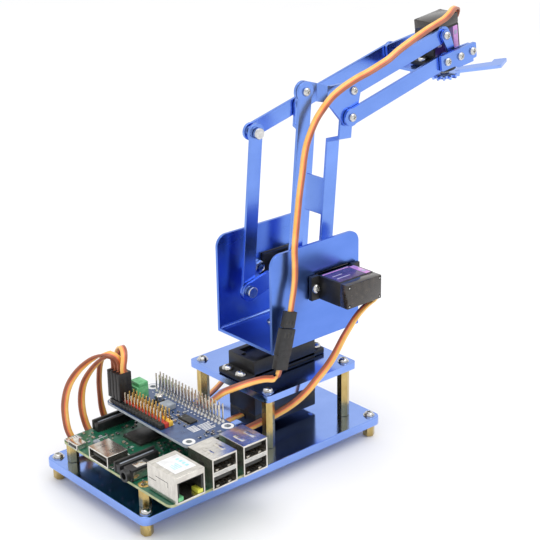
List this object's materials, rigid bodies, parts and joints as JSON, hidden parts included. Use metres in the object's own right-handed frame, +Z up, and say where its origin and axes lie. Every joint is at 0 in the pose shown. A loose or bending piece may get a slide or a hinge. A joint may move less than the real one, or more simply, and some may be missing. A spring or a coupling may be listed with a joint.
{
  "type": "robot arm",
  "caption": "Desktop parallel-link robot arm on a turntable, with a two-finger gripper, small servos, and a base plate carrying its computer and driver board.",
  "frame": {"origin": "centre of the footprint of the object without its leads, at the underside of the feet", "axes": "+X from the computer end of the base towards the reach of the arm, +Y across the base away from the USB side, +Z up"},
  "size_m": [0.2572, 0.098, 0.2054],
  "materials": {
    "anodised_blue": "satin anodised",
    "brass": "satin",
    "bright_steel": "bright",
    "black_plastic": "matt",
    "smoked_plastic": "glossy, slightly translucent",
    "green_board": "solder mask",
    "blue_board": "solder mask",
    "terminal_green": "matt",
    "pins": "bright",
    "orange_wire": "satin"
  },
  "bodies": {
    "base": {"base_plate": "anodised_blue", "foot_1": "brass", "foot_2": "brass", "foot_3": "brass", "foot_4": "brass", "deck_standoff_1": "brass", "deck_standoff_2": "brass", "deck_standoff_3": "brass", "deck_standoff_4": "brass", "deck_plate": "anodised_blue", "waist_servo": "black_plastic", "board_standoff_1": "brass", "board_standoff_2": "brass", "board_standoff_3": "brass", "board_standoff_4": "brass", "computer_board": "green_board", "usb_socket_1": "bright_steel", "usb_socket_2": "bright_steel", "network_socket": "bright_steel", "video_socket": "bright_steel", "stacking_header": "black_plastic", "driver_board": "blue_board", "pin_header": "pins", "servo_header": "black_plastic", "terminal_block": "terminal_green", "header_plug_1": "black_plastic", "header_plug_2": "black_plastic", "header_plug_3": "black_plastic", "header_plug_4": "black_plastic", "extension_lead": "orange_wire", "shoulder_lead": "orange_wire", "waist_lead": "orange_wire", "elbow_lead": "orange_wire"},
    "turret": {"turret_bracket": "anodised_blue", "waist_horn": "black_plastic", "shoulder_servo": "smoked_plastic", "elbow_servo": "smoked_plastic", "gripper_lead_bracket": "orange_wire", "lead_socket": "black_plastic", "extension_plug": "black_plastic"},
    "main_arm": {"main_arm": "anodised_blue", "shoulder_horn": "bright_steel", "gripper_lead_arm": "orange_wire"},
    "crank": {"crank_lever": "anodised_blue"},
    "crank_pin": {"crank_pin": "bright_steel"},
    "rear_link": {"rear_link": "anodised_blue"},
    "lower_level_link": {"lower_level_link": "anodised_blue"},
    "elbow_plate": {"elbow_plate": "anodised_blue"},
    "forearm": {"forearm_near_bar": "anodised_blue", "forearm_far_bar": "anodised_blue", "forearm_spacer": "bright_steel", "tail_pivot": "bright_steel", "gripper_lead_wrist": "orange_wire"},
    "upper_level_link": {"upper_level_link": "anodised_blue"},
    "gripper": {"gripper_frame": "anodised_blue", "wrist_ear": "anodised_blue", "gripper_servo": "smoked_plastic"},
    "drive_jaw": {"drive_jaw": "anodised_blue"},
    "driven_jaw": {"driven_jaw": "anodised_blue"}
  },
  "joints": [
    {"name": "waist_yaw", "type": "hinge", "parent": "base", "child": "turret", "pos_m": [-0.00874, 0.00575, 0.06], "axis": [0, 0, 1], "range_deg": [-90, 90], "deforming": ["extension_lead", "shoulder_lead", "elbow_lead"]},
    {"name": "shoulder", "type": "hinge", "parent": "turret", "child": "main_arm", "pos_m": [0.00836, 0.00575, 0.0851], "axis": [0, 1, 0], "range_deg": [-25, 40], "deforming": ["gripper_lead_arm", "gripper_lead_bracket"]},
    {"name": "elbow_drive", "type": "hinge", "parent": "turret", "child": "crank", "pos_m": [0.00836, 0.00575, 0.0851], "axis": [0, 1, 0], "range_deg": [-15, 40]},
    {"name": "elbow_level", "type": "hinge", "parent": "main_arm", "child": "elbow_plate", "pos_m": [0.01589, 0.00575, 0.16475], "axis": [0, 1, 0], "range_deg": [-40, 25]},
    {"name": "elbow", "type": "hinge", "parent": "elbow_plate", "child": "forearm", "pos_m": [0.01589, 0.00575, 0.16475], "axis": [0, 1, 0], "range_deg": [-15, 40], "deforming": ["gripper_lead_wrist"]},
    {"name": "lower_level_pivot", "type": "hinge", "parent": "turret", "child": "lower_level_link", "pos_m": [-0.01794, 0.00575, 0.1016], "axis": [0, 1, 0], "range_deg": [-25, 40]},
    {"name": "upper_level_pivot", "type": "hinge", "parent": "elbow_plate", "child": "upper_level_link", "pos_m": [0.01849, 0.00575, 0.17694], "axis": [0, 1, 0], "range_deg": [-15, 40]},
    {"name": "wrist_level", "type": "hinge", "parent": "forearm", "child": "gripper", "pos_m": [0.08027, 0.00575, 0.1814], "axis": [0, 1, 0], "range_deg": [-40, 15]},
    {"name": "crank_pin_pivot", "type": "hinge", "parent": "crank", "child": "crank_pin", "pos_m": [-0.02311, 0.00575, 0.07696], "axis": [0, 1, 0], "range_deg": [-40, 15]},
    {"name": "rear_link_pivot", "type": "hinge", "parent": "crank_pin", "child": "rear_link", "pos_m": [-0.02311, 0.00575, 0.07696], "axis": [0, 1, 0], "range_deg": [-25, 40]},
    {"name": "jaw_drive", "type": "hinge", "parent": "gripper", "child": "drive_jaw", "pos_m": [0.09614, -0.00125, 0.1705], "axis": [-0.1392, 0, 0.9903], "range_deg": [-6, 29]},
    {"name": "jaw_driven", "type": "hinge", "parent": "gripper", "child": "driven_jaw", "pos_m": [0.09614, 0.01275, 0.1705], "axis": [-0.1392, 0, 0.9903], "range_deg": [-29, 6]}
  ],
  "couplings": [
    {"joint": "elbow_level", "follows": "shoulder", "ratio": -1},
    {"joint": "elbow", "follows": "elbow_drive", "ratio": 1},
    {"joint": "lower_level_pivot", "follows": "shoulder", "ratio": 1},
    {"joint": "upper_level_pivot", "follows": "elbow_drive", "ratio": 1},
    {"joint": "wrist_level", "follows": "elbow_drive", "ratio": -1},
    {"joint": "crank_pin_pivot", "follows": "elbow_drive", "ratio": -1},
    {"joint": "rear_link_pivot", "follows": "shoulder", "ratio": 1},
    {"joint": "jaw_driven", "follows": "jaw_drive", "ratio": -1}
  ]
}
